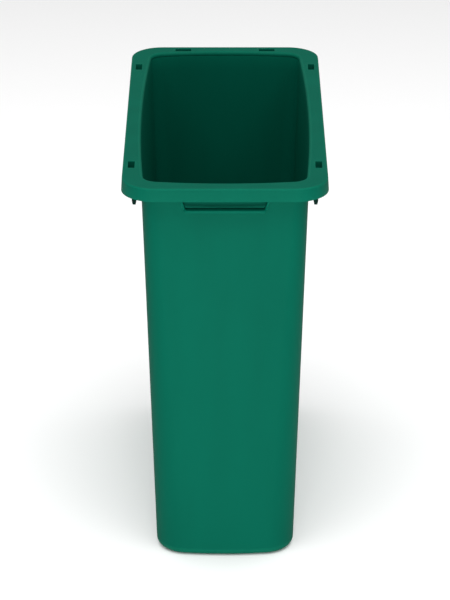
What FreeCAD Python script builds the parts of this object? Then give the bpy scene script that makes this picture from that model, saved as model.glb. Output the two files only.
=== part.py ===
import FreeCAD, Part
import math
import os
import Sketcher

# A slim free-standing litter bin of the 60 litre class, without its lid.
#
# A deep tapered tub stands on its foot ring. A bag collar closes over the tub's
# lip and hangs its skirt round it: the liner's edge is trapped between the two.
# The collar turns up on two steel pins at the back, is pulled up by a grip under
# its front skirt, and is centred by two tapered pegs that drop through eyes on
# the tub's sides. Six windows in the collar's flange take a lid: four blind
# sockets along the sides and two through slots above the hinges.
#
# Millimetres. +Z up, front towards -Y, origin under the middle of the base.

doc = FreeCAD.newDocument("litter_bin")

# --------------------------------------------------------------------------
# Driving dimensions
# --------------------------------------------------------------------------

DRIVING_DIMENSIONS = [
    # the whole bin
    ("overall_width", 287.0),
    ("overall_depth", 594.0),
    ("overall_height", 590.0),
    # collar: flange, skirt and the bead round its opening
    ("rim_corner", 47.2),
    ("flange_thickness", 3.0),
    ("skirt_height", 19.3),
    ("skirt_flare", 1.0),
    ("skirt_thickness", 2.8),
    ("rim_edge_round", 1.8),
    ("opening_side_inset", 22.6),
    ("opening_end_inset", 24.0),
    ("opening_side_bow", 3900.0),
    ("opening_end_bow", 710.0),
    ("opening_corner", 22.0),
    ("bead_width", 4.8),
    ("bead_depth", 6.0),
    ("mouth_round", 4.0),
    ("rib_thickness", 2.0),
    ("rib_drop", 9.0),
    ("rib_corner", 0.5),
    ("side_rib_pitch", 62.0),
    # blind lid sockets along the sides
    ("socket_width", 9.2),
    ("socket_length", 24.6),
    ("socket_depth", 13.0),
    ("socket_wall", 1.6),
    ("socket_inset", 12.9),
    ("socket_from_end", 93.0),
    # through slots above the hinges
    ("slot_length", 24.0),
    ("slot_width", 10.0),
    ("slot_inset", 15.0),
    ("window_corner", 0.8),
    # tub
    ("tub_wall", 2.5),
    ("floor_thickness", 3.0),
    ("side_draft", 1.8),
    ("end_draft", 1.6),
    ("base_side_bow", 4300.0),
    ("base_end_bow", 520.0),
    ("base_corner", 45.0),
    ("base_round", 10.9),
    ("foot_ring_width", 30.0),
    ("foot_recess", 2.5),
    ("liner_gap", 0.3),
    # hinge
    ("hinge_spacing", 128.4),
    ("hinge_above_skirt", 3.3),
    ("hinge_clearance", 2.0),
    ("ear_radius", 4.2),
    ("ear_thickness", 4.0),
    ("trimmed_root", 33.0),
    ("knuckle_length", 11.0),
    ("knuckle_corner", 3.2),
    ("hinge_side_gap", 0.4),
    ("pin_diameter", 4.0),
    ("pin_running_gap", 0.05),
    ("pin_chamfer", 0.5),
    # centring pegs and their eyes
    ("peg_width", 6.6),
    ("peg_tip_width", 4.6),
    ("peg_corner", 0.8),
    ("peg_drop", 43.0),
    ("peg_tip_length", 6.0),
    ("peg_inset", 17.7),
    ("peg_from_front", 52.0),
    ("peg_fit_gap", 0.05),
    ("boss_wall", 2.2),
    ("boss_depth", 11.0),
    ("boss_corner", 1.5),
    ("eye_side_gap", 1.1),
    ("eye_end_gap", 3.2),
    ("eye_rim", 2.6),
    ("eye_corner", 3.0),
    ("eye_hole_corner", 1.5),
    ("eye_thickness", 5.0),
    ("eye_below_top", 21.0),
    # front grip
    ("grip_half_top", 61.5),
    ("grip_half_bottom", 58.5),
    ("grip_ear", 3.4),
    ("grip_gap", 13.0),
    ("grip_bar", 4.0),
    ("grip_depth", 12.6),
    ("grip_round", 6.0),
    ("grip_tab_width", 14.0),
    ("grip_tab_height", 13.0),
    ("grip_tab_thickness", 2.4),
    ("grip_edge_round", 1.2),
    # how deep a rib, box or boss is sunk into what it grows from
    ("join_depth", 1.0),
]

CLOSE = 0.01            # two heights or faces nearer than this are the same
LEAST_CHANGE = 1.0      # a feature changes its body by at least this many cubic millimetres

sizes = doc.addObject("Spreadsheet::Sheet", "Sizes")
for row, (alias, value) in enumerate(DRIVING_DIMENSIONS, start=1):
    sizes.set(f"A{row}", alias)
    sizes.set(f"B{row}", str(value))
    sizes.setAlias(f"B{row}", alias)
doc.recompute()


def from_sheet(text):
    """Turn plain dimension names in an expression into references to the sheet."""
    for name in sorted((name for name, _ in DRIVING_DIMENSIONS), key=len, reverse=True):
        text = text.replace(f"{{{name}}}", f"Sizes.{name}")
    return text


def worth(text):
    """The value in millimetres (or degrees) of an expression."""
    return float(sizes.evalExpression(from_sheet(text)))


# Places that several pieces share, written once as expressions
HALF_WIDTH = "({overall_width} / 2)"
HALF_DEPTH = "({overall_depth} / 2)"
TOP = "{overall_height}"
FLANGE_UNDERSIDE = "({overall_height} - {flange_thickness})"
SKIRT_EDGE = "({overall_height} - {skirt_height})"
OPENING_HALF_WIDTH = f"({HALF_WIDTH} - {{opening_side_inset}})"
OPENING_HALF_DEPTH = f"({HALF_DEPTH} - {{opening_end_inset}})"
BEAD_UNDERSIDE = "({overall_height} - {bead_depth})"
TUB_TOP = f"({BEAD_UNDERSIDE} - {{liner_gap}})"
SIDE_TAPER = f"({TUB_TOP} * tan({{side_draft}} * 1deg))"
END_TAPER = f"({TUB_TOP} * tan({{end_draft}} * 1deg))"
TUB_HALF_WIDTH = f"({OPENING_HALF_WIDTH} + {{tub_wall}})"
TUB_HALF_DEPTH = f"({OPENING_HALF_DEPTH} + {{tub_wall}})"
FOOT_HEIGHT = "({base_round} + 1)"
BASE_HALF_WIDTH = f"({TUB_HALF_WIDTH} - {SIDE_TAPER})"
BASE_HALF_DEPTH = f"({TUB_HALF_DEPTH} - {END_TAPER})"
SKIRT_INNER_DEPTH = f"({HALF_DEPTH} - {{skirt_thickness}} - {{skirt_flare}})"
HINGE_Y = f"({SKIRT_INNER_DEPTH} - {{hinge_clearance}} - {{ear_radius}})"
HINGE_Z = f"({SKIRT_EDGE} + {{hinge_above_skirt}})"
EAR_INNER_FACE = "({knuckle_length} / 2 + {hinge_side_gap})"
PIN_HALF_LENGTH = f"({EAR_INNER_FACE} + {{ear_thickness}})"
PEG_X = f"({HALF_WIDTH} - {{peg_inset}})"
PEG_Y = f"(-{HALF_DEPTH} + {{peg_from_front}})"

# the two sides of the bin, each with its sign along X
SIDES = (("left", "-1"), ("right", "1"))


# --------------------------------------------------------------------------
# Sketch and feature helpers
# --------------------------------------------------------------------------

def new_body(label):
    body = doc.addObject("PartDesign::Body", label)
    body.Label = label
    return body


def new_sketch(body, name, role, offset):
    """A sketch on one of the body's own origin planes, raised along its normal."""
    sketch = body.newObject("Sketcher::SketchObject", name)
    plane = next(f for f in body.Origin.OriginFeatures if f.Role == role)
    sketch.AttachmentSupport = (plane, [""])
    sketch.MapMode = "FlatFace"
    sketch.setExpression("AttachmentOffset.Base.z", from_sheet(offset))
    return sketch


def constrain(sketch, kind, *arguments):
    return sketch.addConstraint(Sketcher.Constraint(kind, *arguments))


def drive(sketch, kind, arguments, text):
    """Add a dimension whose value follows an expression on the sheet."""
    index = constrain(sketch, kind, *arguments, worth(text))
    sketch.setExpression(f"Constraints[{index}]", from_sheet(text))


def add_arc(sketch, x, y, radius, start, end):
    circle = Part.Circle(FreeCAD.Vector(x, y, 0), FreeCAD.Vector(0, 0, 1), radius)
    return sketch.addGeometry(Part.ArcOfCircle(circle, start, end))


def join_tangent(sketch, loop):
    """Chain geometries end to start with tangent joints, and close the loop."""
    for current, following in zip(loop, loop[1:] + loop[:1]):
        constrain(sketch, "Tangent", current, 2, following, 1)


def crowned_loop(sketch, half_width, half_depth, side_bow, end_bow, corner):
    """Bowed sides, crowned ends and round corners, centred on the origin.

    Eight tangent arcs, counted from the +X side anticlockwise.
    """
    a, b = worth(half_width), worth(half_depth)
    side, end, round_off = worth(side_bow), worth(end_bow), worth(corner)
    # the corner's centre lies where two circles cross, each about a bow's centre
    side_x, end_y = a - side, b - end
    reach_side, reach_end = side - round_off, end - round_off
    apart = math.hypot(side_x, end_y)
    along = (reach_side ** 2 - reach_end ** 2 + apart ** 2) / (2 * apart)
    across = math.sqrt(reach_side ** 2 - along ** 2)
    corner_x = side_x - along * side_x / apart - across * end_y / apart
    corner_y = along * end_y / apart - across * side_x / apart
    side_turn = math.atan2(corner_y, corner_x - side_x)
    end_turn = math.atan2(corner_y - end_y, corner_x)
    turn = math.pi
    loop = [
        add_arc(sketch, side_x, 0, side, -side_turn, side_turn),
        add_arc(sketch, corner_x, corner_y, round_off, side_turn, end_turn),
        add_arc(sketch, 0, end_y, end, end_turn, turn - end_turn),
        add_arc(sketch, -corner_x, corner_y, round_off, turn - end_turn, turn - side_turn),
        add_arc(sketch, -side_x, 0, side, turn - side_turn, turn + side_turn),
        add_arc(sketch, -corner_x, -corner_y, round_off, turn + side_turn, turn + end_turn),
        add_arc(sketch, 0, -end_y, end, turn + end_turn, 2 * turn - end_turn),
        add_arc(sketch, corner_x, -corner_y, round_off, -end_turn, -side_turn),
    ]
    join_tangent(sketch, loop)
    right, _, back, _, left, _, front, _ = loop
    for side_arc in (right, left):
        constrain(sketch, "PointOnObject", side_arc, 3, -1)
    for end_arc in (back, front):
        constrain(sketch, "PointOnObject", end_arc, 3, -2)
    constrain(sketch, "Equal", right, left)
    constrain(sketch, "Equal", back, front)
    for other in (loop[3], loop[5], loop[7]):
        constrain(sketch, "Equal", loop[1], other)
    drive(sketch, "Radius", (right,), side_bow)
    drive(sketch, "Radius", (back,), end_bow)
    drive(sketch, "Radius", (loop[1],), corner)
    drive(sketch, "DistanceX", (right, 3, -1, 1), f"{side_bow} - {half_width}")
    drive(sketch, "DistanceX", (-1, 1, left, 3), f"{side_bow} - {half_width}")
    drive(sketch, "DistanceY", (back, 3, -1, 1), f"{end_bow} - {half_depth}")
    drive(sketch, "DistanceY", (-1, 1, front, 3), f"{end_bow} - {half_depth}")


def round_rectangle(sketch, left, right, bottom, top, corner):
    """A rectangle with round corners between four signed positions."""
    x0, x1, y0, y1 = worth(left), worth(right), worth(bottom), worth(top)
    r = worth(corner)
    quarter = math.pi / 2
    starts = [
        ((x0 + r, y0), (x1 - r, y0), (x1 - r, y0 + r), -quarter),
        ((x1, y0 + r), (x1, y1 - r), (x1 - r, y1 - r), 0.0),
        ((x1 - r, y1), (x0 + r, y1), (x0 + r, y1 - r), quarter),
        ((x0, y1 - r), (x0, y0 + r), (x0 + r, y0 + r), 2 * quarter),
    ]
    loop = []
    for begin, finish, centre, angle in starts:
        line = Part.LineSegment(FreeCAD.Vector(*begin, 0), FreeCAD.Vector(*finish, 0))
        loop.append(sketch.addGeometry(line))
        loop.append(add_arc(sketch, *centre, r, angle, angle + quarter))
    join_tangent(sketch, loop)
    lower, first_arc, right_side, _, upper, _, left_side, _ = loop
    for line in (lower, upper):
        constrain(sketch, "Horizontal", line)
    for line in (right_side, left_side):
        constrain(sketch, "Vertical", line)
    for arc in loop[3::2]:
        constrain(sketch, "Equal", first_arc, arc)
    drive(sketch, "Radius", (first_arc,), corner)
    drive(sketch, "DistanceX", (left_side, 1), left)
    drive(sketch, "DistanceX", (right_side, 1), right)
    drive(sketch, "DistanceY", (lower, 1), bottom)
    drive(sketch, "DistanceY", (upper, 1), top)


def circle_at(sketch, x, y, radius):
    circle = Part.Circle(
        FreeCAD.Vector(worth(x), worth(y), 0), FreeCAD.Vector(0, 0, 1), worth(radius))
    index = sketch.addGeometry(circle)
    drive(sketch, "Radius", (index,), radius)
    drive(sketch, "DistanceX", (index, 3), x)
    drive(sketch, "DistanceY", (index, 3), y)


def rim_loop(sketch, inset):
    """The straight-sided outline of the rim, moved inwards by an inset."""
    round_rectangle(
        sketch,
        f"-{HALF_WIDTH} + {inset}", f"{HALF_WIDTH} - {inset}",
        f"-{HALF_DEPTH} + {inset}", f"{HALF_DEPTH} - {inset}",
        f"{{rim_corner}} - {inset}")


def opening_loop(sketch, outset):
    """The bowed outline of the collar's opening, moved outwards by an outset."""
    crowned_loop(
        sketch,
        f"({OPENING_HALF_WIDTH} + {outset})", f"({OPENING_HALF_DEPTH} + {outset})",
        f"({{opening_side_bow}} + {outset})", f"({{opening_end_bow}} + {outset})",
        f"({{opening_corner}} + {outset})")


def feature_volume(body):
    return body.Shape.Volume if body.Shape and not body.Shape.isNull() else 0.0


def pad(body, sketch, length):
    """Pad a sketch along its own normal; the body has to grow."""
    before = feature_volume(body)
    feature = body.newObject("PartDesign::Pad", f"{sketch.Name}_pad")
    feature.Profile = (sketch, [""])
    feature.setExpression("Length", from_sheet(length))
    doc.recompute()
    if feature_volume(body) <= before:
        raise RuntimeError(f"{feature.Name} added nothing")
    return feature


def pocket(body, sketch, length):
    """Cut a sketch along its own normal; the body has to shrink."""
    before = feature_volume(body)
    feature = body.newObject("PartDesign::Pocket", f"{sketch.Name}_pocket")
    feature.Profile = (sketch, [""])
    feature.Reversed = True
    feature.setExpression("Length", from_sheet(length))
    doc.recompute()
    if feature_volume(body) >= before:
        raise RuntimeError(f"{feature.Name} cut nothing")
    return feature


def loft(body, kind, name, lower, upper):
    """A ruled loft between two sketches, added or cut."""
    before = feature_volume(body)
    feature = body.newObject(kind, name)
    feature.Profile = (lower, [""])
    feature.Sections = [(upper, [""])]
    feature.Ruled = True
    doc.recompute()
    if abs(feature_volume(body) - before) < LEAST_CHANGE:
        raise RuntimeError(f"{feature.Name} changed nothing")
    return feature


def fillet(body, name, radius, wanted):
    """Round the edges of the body's last shape that a test picks by their box."""
    base = body.Tip
    picked = [
        f"Edge{number}"
        for number, edge in enumerate(base.Shape.Edges, start=1)
        if wanted(edge.BoundBox)
    ]
    if not picked:
        raise RuntimeError(f"{name} found no edges")
    feature = body.newObject("PartDesign::Fillet", name)
    feature.Base = (base, picked)
    feature.setExpression("Radius", from_sheet(radius))
    doc.recompute()
    return feature


def at_height(box, height):
    return abs(box.ZMin - height) < CLOSE and abs(box.ZMax - height) < CLOSE


# --------------------------------------------------------------------------
# Tub
# --------------------------------------------------------------------------

def base_section(body, name, height, inset):
    """The outline that the tub stands on, moved inwards by an inset."""
    sketch = new_sketch(body, name, "XY_Plane", height)
    crowned_loop(
        sketch,
        f"({BASE_HALF_WIDTH} - {inset})", f"({BASE_HALF_DEPTH} - {inset})",
        f"({{base_side_bow}} - {inset})", f"({{base_end_bow}} - {inset})",
        f"({{base_corner}} - {inset})")
    return sketch


def lip_section(body, name, outset):
    """The outline at the tub's lip, which stands outside the collar's opening."""
    sketch = new_sketch(body, name, "XY_Plane", TUB_TOP)
    opening_loop(sketch, outset)
    return sketch


def add_hinge_ears(body):
    """Two plates beside each knuckle, which hold the ends of a hinge pin.

    Each plate's root runs into the tub, where the cavity trims it flush.
    """
    for side, sign in SIDES:
        starts = {
            "inner": f"({sign} * {{hinge_spacing}} / 2 - {PIN_HALF_LENGTH})",
            "outer": f"({sign} * {{hinge_spacing}} / 2 + {EAR_INNER_FACE})",
        }
        for place, start in starts.items():
            plate = new_sketch(body, f"ear_{side}_{place}", "YZ_Plane", start)
            round_rectangle(
                plate, f"{HINGE_Y} - {{trimmed_root}}", f"{HINGE_Y} + {{ear_radius}}",
                f"{HINGE_Z} - {{ear_radius}}", f"{HINGE_Z} + {{ear_radius}}",
                f"{{ear_radius}} - {CLOSE}")
            pad(body, plate, "{ear_thickness}")


def add_peg_eyes(body):
    """A shelf on each side of the tub that a peg drops through."""
    hole_half_x = "({peg_width} / 2 + {eye_side_gap})"
    hole_half_y = "({peg_width} / 2 + {eye_end_gap})"
    floor = "({overall_height} - {eye_below_top} - {eye_thickness})"
    for side, sign in SIDES:
        near = f"({PEG_X} - {{trimmed_root}})"
        far = f"({PEG_X} + {hole_half_x} + {{eye_rim}})"
        low, high = (f"-{far}", f"-{near}") if sign == "-1" else (near, far)
        shelf = new_sketch(body, f"eye_{side}", "XY_Plane", floor)
        round_rectangle(
            shelf, low, high,
            f"{PEG_Y} - {hole_half_y} - {{eye_rim}}", f"{PEG_Y} + {hole_half_y} + {{eye_rim}}",
            "{eye_corner}")
        pad(body, shelf, "{eye_thickness}")
        hole = new_sketch(body, f"eye_hole_{side}", "XY_Plane", floor)
        round_rectangle(
            hole, f"{sign} * {PEG_X} - {hole_half_x}", f"{sign} * {PEG_X} + {hole_half_x}",
            f"{PEG_Y} - {hole_half_y}", f"{PEG_Y} + {hole_half_y}", "{eye_hole_corner}")
        pocket(body, hole, "{eye_thickness}")


def make_tub():
    body = new_body("tub")
    foot = base_section(body, "base_outline", "0", "0")
    pad(body, foot, FOOT_HEIGHT)
    floor = base_section(body, "floor_outline", "{floor_thickness}", "{tub_wall}")
    pocket(body, floor, f"{FOOT_HEIGHT} - {{floor_thickness}}")
    fillet(body, "floor_edge", "{base_round} - {tub_wall}",
           lambda box: at_height(box, worth("{floor_thickness}")))
    fillet(body, "base_edge", "{base_round}", lambda box: at_height(box, 0.0))
    panel = new_sketch(body, "floor_panel", "XY_Plane", "{floor_thickness} - {join_depth}")
    recess_loop(panel)
    pad(body, panel, "{foot_recess} + {join_depth}")
    recess = new_sketch(body, "foot_recess_outline", "XY_Plane", "0")
    recess_loop(recess)
    pocket(body, recess, "{foot_recess}")
    wall_start = base_section(body, "wall_start", FOOT_HEIGHT, "0")
    lip = lip_section(body, "lip_outline", "{tub_wall}")
    loft(body, "PartDesign::AdditiveLoft", "outer_form", wall_start, lip)
    add_hinge_ears(body)
    add_peg_eyes(body)
    cavity_start = base_section(body, "cavity_start", FOOT_HEIGHT, "{tub_wall}")
    mouth = lip_section(body, "mouth_outline", "0")
    loft(body, "PartDesign::SubtractiveLoft", "cavity", cavity_start, mouth)
    bore_ears(body)
    return body


def recess_loop(sketch):
    """The raised panel of the floor, inside the ring that the bin stands on."""
    crowned_loop(
        sketch,
        f"({BASE_HALF_WIDTH} - {{foot_ring_width}})", f"({BASE_HALF_DEPTH} - {{foot_ring_width}})",
        "({base_side_bow} - {foot_ring_width})", "({base_end_bow} - {foot_ring_width})",
        "({base_corner} - {foot_ring_width})")


def bore_ears(body):
    """The holes for the hinge pins, right through both pairs of ears."""
    for side, sign in SIDES:
        bore = new_sketch(body, f"ear_bore_{side}", "YZ_Plane",
                          f"({sign} * {{hinge_spacing}} / 2 - {PIN_HALF_LENGTH})")
        circle_at(bore, HINGE_Y, HINGE_Z, "{pin_diameter} / 2")
        pocket(body, bore, f"2 * {PIN_HALF_LENGTH}")


# --------------------------------------------------------------------------
# Collar
# --------------------------------------------------------------------------

def add_ribs(body):
    """Stiffening ribs across the channel between the bead and the skirt."""
    depth_to_ribs = "({socket_from_end} + {socket_length} / 2 + {socket_wall})"
    run = worth(f"{{overall_depth}} - 2 * {depth_to_ribs}")
    count = max(1, int(run / worth("{side_rib_pitch}")))
    level = f"({FLANGE_UNDERSIDE} - {{rib_drop}})"
    near = f"({OPENING_HALF_WIDTH} + {{bead_width}} - {{join_depth}})"
    far = f"({HALF_WIDTH} - {{skirt_thickness}} + {{join_depth}})"
    for number in range(count):
        place = f"({{side_rib_pitch}} * {number - (count - 1) / 2})"
        for side, low, high in (("left", f"-{far}", f"-{near}"), ("right", near, far)):
            rib = new_sketch(body, f"rib_{side}_{number + 1}", "XY_Plane", level)
            round_rectangle(rib, low, high, f"{place} - {{rib_thickness}} / 2",
                            f"{place} + {{rib_thickness}} / 2", "{rib_corner}")
            pad(body, rib, "{rib_drop} + {join_depth}")


def add_sockets(body):
    """Four blind pockets that open in the flange, each in its own box below it."""
    half_x, half_y = "({socket_width} / 2)", "({socket_length} / 2)"
    for side, sx in SIDES:
        for end, sy in (("front", "-1"), ("rear", "1")):
            x = f"({sx} * ({HALF_WIDTH} - {{socket_inset}}))"
            y = f"({sy} * ({HALF_DEPTH} - {{socket_from_end}}))"
            box = new_sketch(body, f"socket_box_{side}_{end}", "XY_Plane",
                             f"({TOP} - {{socket_depth}} - {{socket_wall}})")
            wall = "{socket_wall}"
            round_rectangle(box, f"{x} - {half_x} - {wall}", f"{x} + {half_x} + {wall}",
                            f"{y} - {half_y} - {wall}", f"{y} + {half_y} + {wall}",
                            "{window_corner} + {socket_wall}")
            pad(body, box, "{socket_depth} + {socket_wall} - {flange_thickness} + {join_depth}")
            hole = new_sketch(body, f"socket_{side}_{end}", "XY_Plane",
                              f"({TOP} - {{socket_depth}})")
            round_rectangle(hole, f"{x} - {half_x}", f"{x} + {half_x}",
                            f"{y} - {half_y}", f"{y} + {half_y}", "{window_corner}")
            pocket(body, hole, "{socket_depth}")


def add_hinge_slots(body):
    for side, sign in SIDES:
        x = f"({sign} * {{hinge_spacing}} / 2)"
        y = f"({HALF_DEPTH} - {{slot_inset}})"
        slot = new_sketch(body, f"hinge_slot_{side}", "XY_Plane",
                          f"({FLANGE_UNDERSIDE} - {{join_depth}})")
        round_rectangle(slot, f"{x} - {{slot_length}} / 2", f"{x} + {{slot_length}} / 2",
                        f"{y} - {{slot_width}} / 2", f"{y} + {{slot_width}} / 2",
                        "{window_corner}")
        pocket(body, slot, "{flange_thickness} + {join_depth}")


def add_knuckles(body):
    """A knuckle on the skirt's inner face at each hinge, bored to run on its pin."""
    for side, sign in SIDES:
        start = f"({sign} * {{hinge_spacing}} / 2 - {{knuckle_length}} / 2)"
        web = new_sketch(body, f"knuckle_{side}", "YZ_Plane", start)
        round_rectangle(
            web, f"{HINGE_Y} - {{ear_radius}}", f"{HALF_DEPTH} - {{skirt_thickness}} / 2",
            SKIRT_EDGE, f"{HINGE_Z} + {{ear_radius}}", "{knuckle_corner}")
        pad(body, web, "{knuckle_length}")
        bore = new_sketch(body, f"knuckle_bore_{side}", "YZ_Plane", start)
        circle_at(bore, HINGE_Y, HINGE_Z, "{pin_diameter} / 2 + {pin_running_gap}")
        pocket(body, bore, "{knuckle_length}")


def add_peg_bosses(body):
    outer = "({peg_width} / 2 + {peg_fit_gap} + {boss_wall})"
    inner = "({peg_width} / 2 + {peg_fit_gap})"
    level = f"({FLANGE_UNDERSIDE} - {{boss_depth}})"
    for side, sign in SIDES:
        x = f"({sign} * {PEG_X})"
        boss = new_sketch(body, f"peg_boss_{side}", "XY_Plane", level)
        round_rectangle(boss, f"{x} - {outer}", f"{x} + {outer}",
                        f"{PEG_Y} - {outer}", f"{PEG_Y} + {outer}", "{boss_corner}")
        pad(body, boss, "{boss_depth} + {join_depth}")
        hole = new_sketch(body, f"peg_hole_{side}", "XY_Plane", level)
        round_rectangle(hole, f"{x} - {inner}", f"{x} + {inner}",
                        f"{PEG_Y} - {inner}", f"{PEG_Y} + {inner}", "{peg_corner}")
        pocket(body, hole, "{boss_depth}")


def make_collar():
    body = new_body("collar")
    # the skirt flares a little towards its lower edge, inside and out
    for name, kind, height, thickness in (
            ("rim", "PartDesign::AdditiveLoft", TOP, "0"),
            ("channel", "PartDesign::SubtractiveLoft", FLANGE_UNDERSIDE, "{skirt_thickness}")):
        lower = new_sketch(body, f"{name}_lower", "XY_Plane", SKIRT_EDGE)
        rim_loop(lower, thickness)
        upper = new_sketch(body, f"{name}_upper", "XY_Plane", height)
        rim_loop(upper, f"({thickness} + {{skirt_flare}})")
        loft(body, kind, f"{name}_form", lower, upper)
    mouth = new_sketch(body, "collar_mouth", "XY_Plane", FLANGE_UNDERSIDE)
    opening_loop(mouth, "0")
    pocket(body, mouth, "{flange_thickness}")
    bead = new_sketch(body, "bead", "XY_Plane", BEAD_UNDERSIDE)
    opening_loop(bead, "0")
    opening_loop(bead, "{bead_width}")
    pad(body, bead, "{bead_depth}")
    rim_x = worth(f"{HALF_WIDTH} - {{skirt_flare}}")
    rim_y = worth(f"{HALF_DEPTH} - {{skirt_flare}}")
    open_x, open_y = worth(OPENING_HALF_WIDTH), worth(OPENING_HALF_DEPTH)

    def in_opening(box):
        return (at_height(box, worth(TOP)) and max(abs(box.XMin), abs(box.XMax)) < open_x + CLOSE
                and max(abs(box.YMin), abs(box.YMax)) < open_y + CLOSE)

    def on_rim(box):
        return at_height(box, worth(TOP)) and not in_opening(box) and (
            max(abs(box.XMin), abs(box.XMax)) > rim_x - CLOSE
            or max(abs(box.YMin), abs(box.YMax)) > rim_y - CLOSE)

    fillet(body, "mouth_edge", "{mouth_round}", in_opening)
    fillet(body, "rim_edge", "{rim_edge_round}", on_rim)
    add_ribs(body)
    add_sockets(body)
    add_hinge_slots(body)
    add_knuckles(body)
    add_peg_bosses(body)
    return body


# --------------------------------------------------------------------------
# Front grip, pegs and hinge pins
# --------------------------------------------------------------------------

def strap_side(sketch, half_top, half_bottom, bottom, corner):
    """One side of the strap: down a slanted ear, round a corner, along the bar and back up.

    Returns its two upper end points as (geometry, point) pairs.
    """
    a, b, z1, z0, r = (worth(text) for text in (half_top, half_bottom, SKIRT_EDGE, bottom, corner))
    centre_x, centre_z = b - r, z0 + r

    def line(x0, y0, x1, y1):
        return sketch.addGeometry(Part.LineSegment(FreeCAD.Vector(x0, y0, 0),
                                                   FreeCAD.Vector(x1, y1, 0)))

    left = line(-a, z1, -b, centre_z)
    left_round = add_arc(sketch, -centre_x, centre_z, r, math.pi, 1.5 * math.pi)
    level = line(-centre_x, z0, centre_x, z0)
    right_round = add_arc(sketch, centre_x, centre_z, r, 1.5 * math.pi, 2 * math.pi)
    right = line(b, centre_z, a, z1)
    chain = [left, left_round, level, right_round, right]
    for current, following in zip(chain, chain[1:]):
        constrain(sketch, "Tangent", current, 2, following, 1)
    constrain(sketch, "Horizontal", level)
    constrain(sketch, "Equal", left_round, right_round)
    drive(sketch, "Radius", (left_round,), corner)
    drive(sketch, "DistanceX", (left, 1), f"-({half_top})")
    drive(sketch, "DistanceX", (right, 2), half_top)
    drive(sketch, "DistanceY", (left, 1), SKIRT_EDGE)
    drive(sketch, "DistanceY", (right, 2), SKIRT_EDGE)
    drive(sketch, "DistanceY", (level, 1), bottom)
    drive(sketch, "DistanceX", (left_round, 3), f"-({half_bottom} - {corner})")
    drive(sketch, "DistanceX", (right_round, 3), f"{half_bottom} - {corner}")
    return (left, 1), (right, 2)


def make_front_grip():
    """A strap under the front skirt: a flat bar between two ears, with tabs behind the skirt."""
    body = new_body("front_grip")
    # the XZ plane faces the front, so each sketch lies at the back of what it pads
    strap = new_sketch(body, "strap", "XZ_Plane", f"({HALF_DEPTH} - {{grip_depth}})")
    bar_top = f"({SKIRT_EDGE} - {{grip_gap}})"
    outer = strap_side(strap, "{grip_half_top}", "{grip_half_bottom}",
                       f"({bar_top} - {{grip_bar}})", "{grip_round}")
    inner = strap_side(strap, "({grip_half_top} - {grip_ear})",
                       "({grip_half_bottom} - {grip_ear})", bar_top,
                       "({grip_round} - {grip_ear})")
    for first, last in ((outer[0], inner[0]), (inner[1], outer[1])):
        bridge = strap.addGeometry(Part.LineSegment(strap.getPoint(*first), strap.getPoint(*last)))
        constrain(strap, "Coincident", bridge, 1, *first)
        constrain(strap, "Coincident", bridge, 2, *last)
    pad(body, strap, "{grip_depth}")
    front_face = -worth(HALF_DEPTH)
    ear_top = worth(SKIRT_EDGE)

    def round_the_front(box):
        on_front = max(abs(box.YMin - front_face), abs(box.YMax - front_face)) < CLOSE
        return on_front and not at_height(box, ear_top)

    fillet(body, "strap_front_edges", "{grip_edge_round}", round_the_front)
    # each tab rises behind the skirt from a stem no wider than its ear
    tab_back = f"({SKIRT_INNER_DEPTH} - {{grip_tab_thickness}})"
    shapes = {
        "stem": ("{grip_ear}", f"{SKIRT_EDGE} - {{grip_ear}}"),
        "tab": ("{grip_tab_width}", SKIRT_EDGE),
    }
    for side, sign in SIDES:
        for name, (width, foot) in shapes.items():
            outside = f"({sign} * {{grip_half_top}})"
            inside = f"({sign} * ({{grip_half_top}} - {width}))"
            low, high = (outside, inside) if sign == "-1" else (inside, outside)
            tab = new_sketch(body, f"{name}_{side}", "XZ_Plane", tab_back)
            round_rectangle(tab, low, high, foot, f"{SKIRT_EDGE} + {{grip_tab_height}}",
                            "{window_corner}")
            pad(body, tab, "{grip_tab_thickness}")
    return body


def make_peg(side, sign):
    """A square peg pushed up into its boss, with a tapered tip."""
    body = new_body(f"locating_peg_{side}")
    x = f"({sign} * {PEG_X})"

    def square(name, height, width):
        sketch = new_sketch(body, f"{name}_{side}", "XY_Plane", height)
        round_rectangle(sketch, f"{x} - {width} / 2", f"{x} + {width} / 2",
                        f"{PEG_Y} - {width} / 2", f"{PEG_Y} + {width} / 2", "{peg_corner}")
        return sketch

    tip_top = f"({TOP} - {{peg_drop}} + {{peg_tip_length}})"
    shank = square("shank", tip_top, "{peg_width}")
    pad(body, shank, f"{FLANGE_UNDERSIDE} - {tip_top}")
    tip_end = square("tip_end", f"({TOP} - {{peg_drop}})", "{peg_tip_width}")
    tip_root = square("tip_root", tip_top, "{peg_width}")
    loft(body, "PartDesign::AdditiveLoft", f"tip_{side}", tip_end, tip_root)
    return body


def make_hinge_pin(side, sign):
    """A plain steel pin held in both ears, with chamfered ends."""
    body = new_body(f"hinge_pin_{side}")
    end = new_sketch(body, f"pin_end_{side}", "YZ_Plane",
                     f"({sign} * {{hinge_spacing}} / 2 - {PIN_HALF_LENGTH})")
    circle_at(end, HINGE_Y, HINGE_Z, "{pin_diameter} / 2")
    rod = pad(body, end, f"2 * {PIN_HALF_LENGTH}")
    chamfer = body.newObject("PartDesign::Chamfer", f"pin_chamfer_{side}")
    rims = [f"Edge{number}" for number, edge in enumerate(rod.Shape.Edges, start=1)
            if edge.BoundBox.XLength < CLOSE]
    chamfer.Base = (rod, rims)
    chamfer.setExpression("Size", from_sheet("{pin_chamfer}"))
    doc.recompute()
    return body


# --------------------------------------------------------------------------
# Build, check and write
# --------------------------------------------------------------------------

bodies = [make_tub(), make_collar(), make_front_grip()]
for side, sign in SIDES:
    bodies.append(make_peg(side, sign))
    bodies.append(make_hinge_pin(side, sign))
doc.recompute()

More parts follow.
